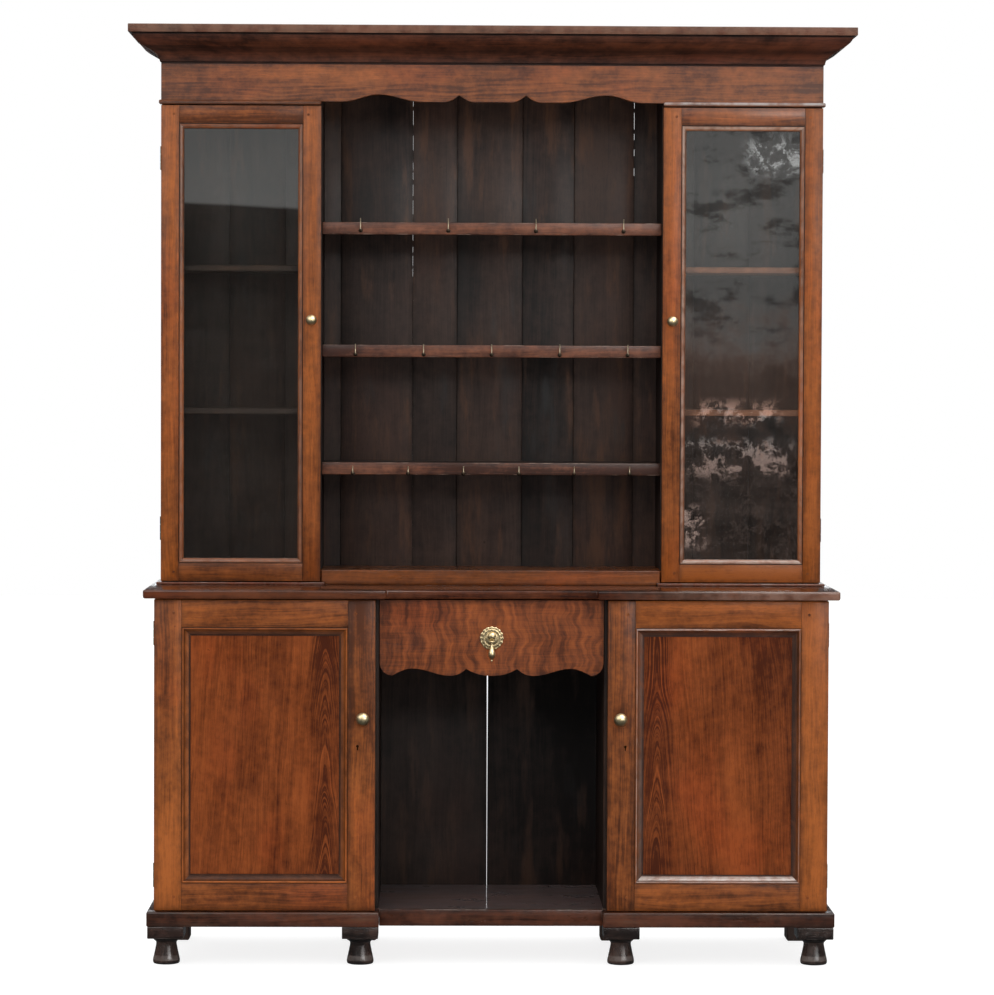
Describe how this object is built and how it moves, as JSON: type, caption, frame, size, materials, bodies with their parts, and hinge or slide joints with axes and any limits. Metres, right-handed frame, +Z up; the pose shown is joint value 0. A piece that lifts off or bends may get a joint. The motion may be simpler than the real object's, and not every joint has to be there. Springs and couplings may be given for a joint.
{
  "type": "dog-kennel dresser",
  "caption": "Oak dog-kennel dresser: panelled cupboards, scalloped drawer over an open kennel, plate rack with glazed cupboards, ogee cornice, turned feet.",
  "frame": {"origin": "middle of the floor under the dresser: the bottom centre of its bounding box", "axes": "+X to the viewer's right, -Y out of the front, +Z up"},
  "size_m": [1.672, 0.458, 2.141],
  "materials": {
    "oak_frame": "waxed oak, warm orange brown",
    "oak_panel": "waxed oak, redder and darker",
    "oak_dark": "dark polished oak",
    "oak_inside": "dull, nearly black inside boards",
    "brass": "old polished brass",
    "glass": "clear old window glass"
  },
  "bodies": {
    "carcase": {"back_foot_left": "oak_dark", "back_foot_mid_left": "oak_dark", "back_foot_mid_right": "oak_dark", "back_foot_right": "oak_dark", "base_back_left": "oak_inside", "base_back_right": "oak_inside", "base_floor": "oak_dark", "base_shelf_left": "oak_inside", "base_shelf_right": "oak_inside", "base_side_left": "oak_frame", "base_side_right": "oak_frame", "base_top": "oak_dark", "cornice": "oak_dark", "cupboard_shelf_lower_left": "oak_inside", "cupboard_shelf_lower_right": "oak_inside", "cupboard_shelf_upper_left": "oak_inside", "cupboard_shelf_upper_right": "oak_inside", "frieze": "oak_frame", "front_foot_left": "oak_dark", "front_foot_mid_left": "oak_dark", "front_foot_mid_right": "oak_dark", "front_foot_right": "oak_dark", "kennel_wall_left": "oak_inside", "kennel_wall_right": "oak_inside", "plate_shelf_lower": "oak_dark", "plate_shelf_middle": "oak_dark", "plate_shelf_upper": "oak_dark", "plinth": "oak_dark", "rack_back": "oak_inside", "rack_floor": "oak_dark", "rack_partition_left": "oak_inside", "rack_partition_right": "oak_inside", "rack_roof": "oak_inside", "rack_side_left": "oak_frame", "rack_side_right": "oak_frame", "rack_strip_left": "oak_dark", "rack_strip_right": "oak_dark"},
    "base_door_left": {"base_door_left_frame": "oak_frame", "base_door_left_knob": "brass", "base_door_left_moulding": "oak_dark", "base_door_left_panel": "oak_panel"},
    "base_door_right": {"base_door_right_frame": "oak_frame", "base_door_right_knob": "brass", "base_door_right_moulding": "oak_dark", "base_door_right_panel": "oak_panel"},
    "lock_bolt_left": {"lock_bolt_left": "brass"},
    "lock_bolt_right": {"lock_bolt_right": "brass"},
    "glazed_door_left": {"glazed_door_left_frame": "oak_frame", "glazed_door_left_glass": "glass"},
    "glazed_door_right": {"glazed_door_right_frame": "oak_frame", "glazed_door_right_glass": "glass"},
    "turn_catch_left": {"glazed_door_left_catch": "brass"},
    "turn_catch_right": {"glazed_door_right_catch": "brass"},
    "drawer": {"drawer_back": "oak_inside", "drawer_bottom": "oak_inside", "drawer_front": "oak_frame", "drawer_pull_rosette": "brass", "drawer_side_left": "oak_inside", "drawer_side_right": "oak_inside"},
    "pull_drop": {"drawer_pull_drop": "brass"}
  },
  "joints": [
    {"name": "base_door_left_hinge", "type": "hinge", "parent": "carcase", "child": "base_door_left", "pos_m": [-0.7654, -0.17715, 0.1235], "axis": [0, 0, -1], "range_deg": [0, 170]},
    {"name": "lock_bolt_left_slide", "type": "slide", "parent": "base_door_left", "child": "lock_bolt_left", "axis": [1, 0, 0], "range_m": [0, 0.008]},
    {"name": "glazed_door_left_hinge", "type": "hinge", "parent": "carcase", "child": "glazed_door_left", "pos_m": [-0.7654, 0.01685, 0.8618], "axis": [0, 0, -1], "range_deg": [0, 170]},
    {"name": "turn_catch_left_turn", "type": "hinge", "parent": "glazed_door_left", "child": "turn_catch_left", "pos_m": [-0.4175, -0.005, 1.466], "axis": [0, -1, 0], "range_deg": [0, 90]},
    {"name": "base_door_right_hinge", "type": "hinge", "parent": "carcase", "child": "base_door_right", "pos_m": [0.7654, -0.17715, 0.1235], "axis": [0, 0, 1], "range_deg": [0, 170]},
    {"name": "lock_bolt_right_slide", "type": "slide", "parent": "base_door_right", "child": "lock_bolt_right", "axis": [-1, 0, 0], "range_m": [0, 0.008]},
    {"name": "glazed_door_right_hinge", "type": "hinge", "parent": "carcase", "child": "glazed_door_right", "pos_m": [0.7654, 0.01685, 0.8618], "axis": [0, 0, 1], "range_deg": [0, 170]},
    {"name": "turn_catch_right_turn", "type": "hinge", "parent": "glazed_door_right", "child": "turn_catch_right", "pos_m": [0.4175, -0.005, 1.466], "axis": [0, 1, 0], "range_deg": [0, 90]},
    {"name": "drawer_slide", "type": "slide", "parent": "carcase", "child": "drawer", "axis": [0, -1, 0], "range_m": [0, 0.28]},
    {"name": "pull_drop_swing", "type": "hinge", "parent": "drawer", "child": "pull_drop", "pos_m": [0, -0.1878, 0.73454], "axis": [-1, 0, 0], "range_deg": [0, 85]}
  ]
}
